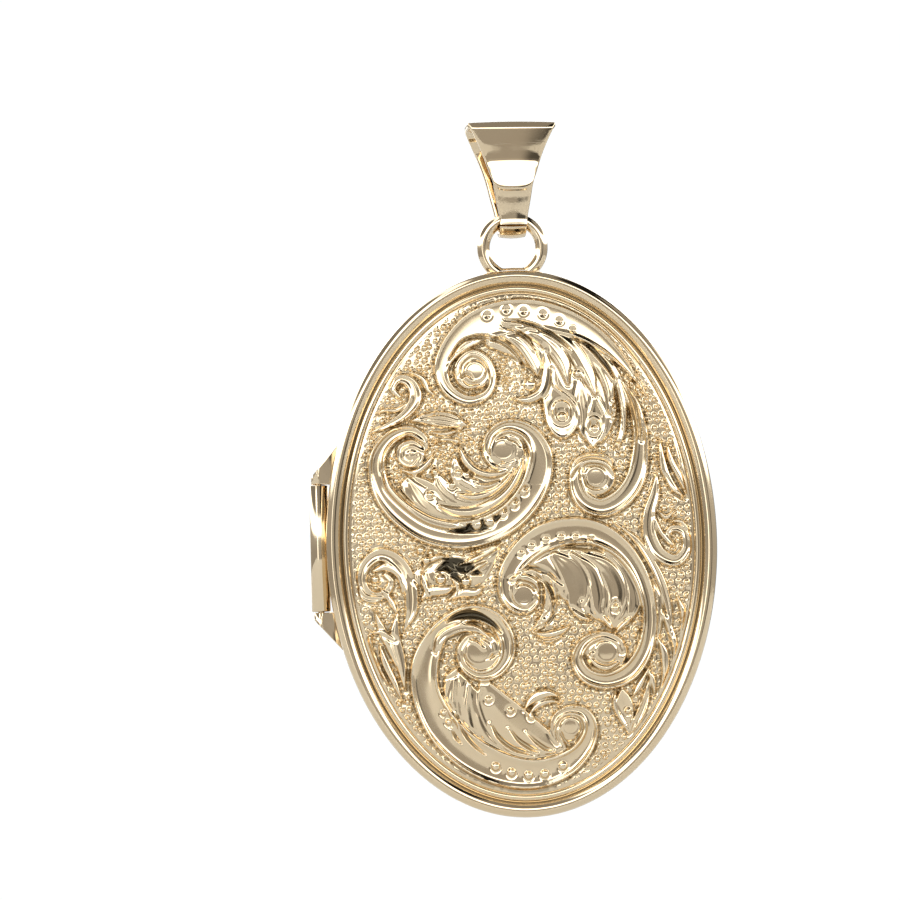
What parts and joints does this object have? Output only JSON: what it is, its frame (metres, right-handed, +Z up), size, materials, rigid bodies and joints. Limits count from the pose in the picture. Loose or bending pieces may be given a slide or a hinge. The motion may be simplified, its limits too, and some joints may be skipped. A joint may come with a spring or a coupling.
{
  "type": "locket",
  "caption": "Oval hinged picture locket with a scrollwork front cover, opening like a book and hanging from a flared bail through a round loop.",
  "frame": {"origin": "centre of the bail's chain passage, from which the locket hangs", "axes": "+Z up as it hangs, front cover facing -Y, hinge on the -X edge; X is across the locket"},
  "size_m": [0.019, 0.0039, 0.0326],
  "materials": {
    "gold": "polished pale rosy-yellow gold",
    "inner_gold": "satin gold",
    "photo_card": "matt card",
    "window": "clear acetate"
  },
  "bodies": {
    "bail": {"bail": "gold"},
    "back_half": {"back_cover": "gold", "snap_bezel": "inner_gold", "catch_bead": "inner_gold", "back_photo_card": "photo_card", "back_photo_window": "window", "back_photo_frame": "inner_gold", "back_bearer_upper": "gold", "back_bearer_lower": "gold", "hinge_knuckle_upper": "gold", "hinge_knuckle_lower": "gold", "hinge_pin": "gold", "hanging_loop": "gold"},
    "front_half": {"front_cover": "gold", "front_photo_seat": "inner_gold", "front_photo_card": "photo_card", "front_photo_window": "window", "front_photo_frame": "inner_gold", "front_bearer_upper": "gold", "front_bearer_lower": "gold", "hinge_barrel": "gold"}
  },
  "joints": [
    {"name": "hang_swing", "type": "hinge", "parent": "bail", "child": "back_half", "pos_m": [0, 0, -0.0032], "axis": [1, 0, 0], "range_deg": [-110, 110]},
    {"name": "cover_hinge", "type": "hinge", "parent": "back_half", "child": "front_half", "pos_m": [-0.00943, -0.00042, -0.01854], "axis": [0, 0, -1], "range_deg": [0, 175]}
  ]
}
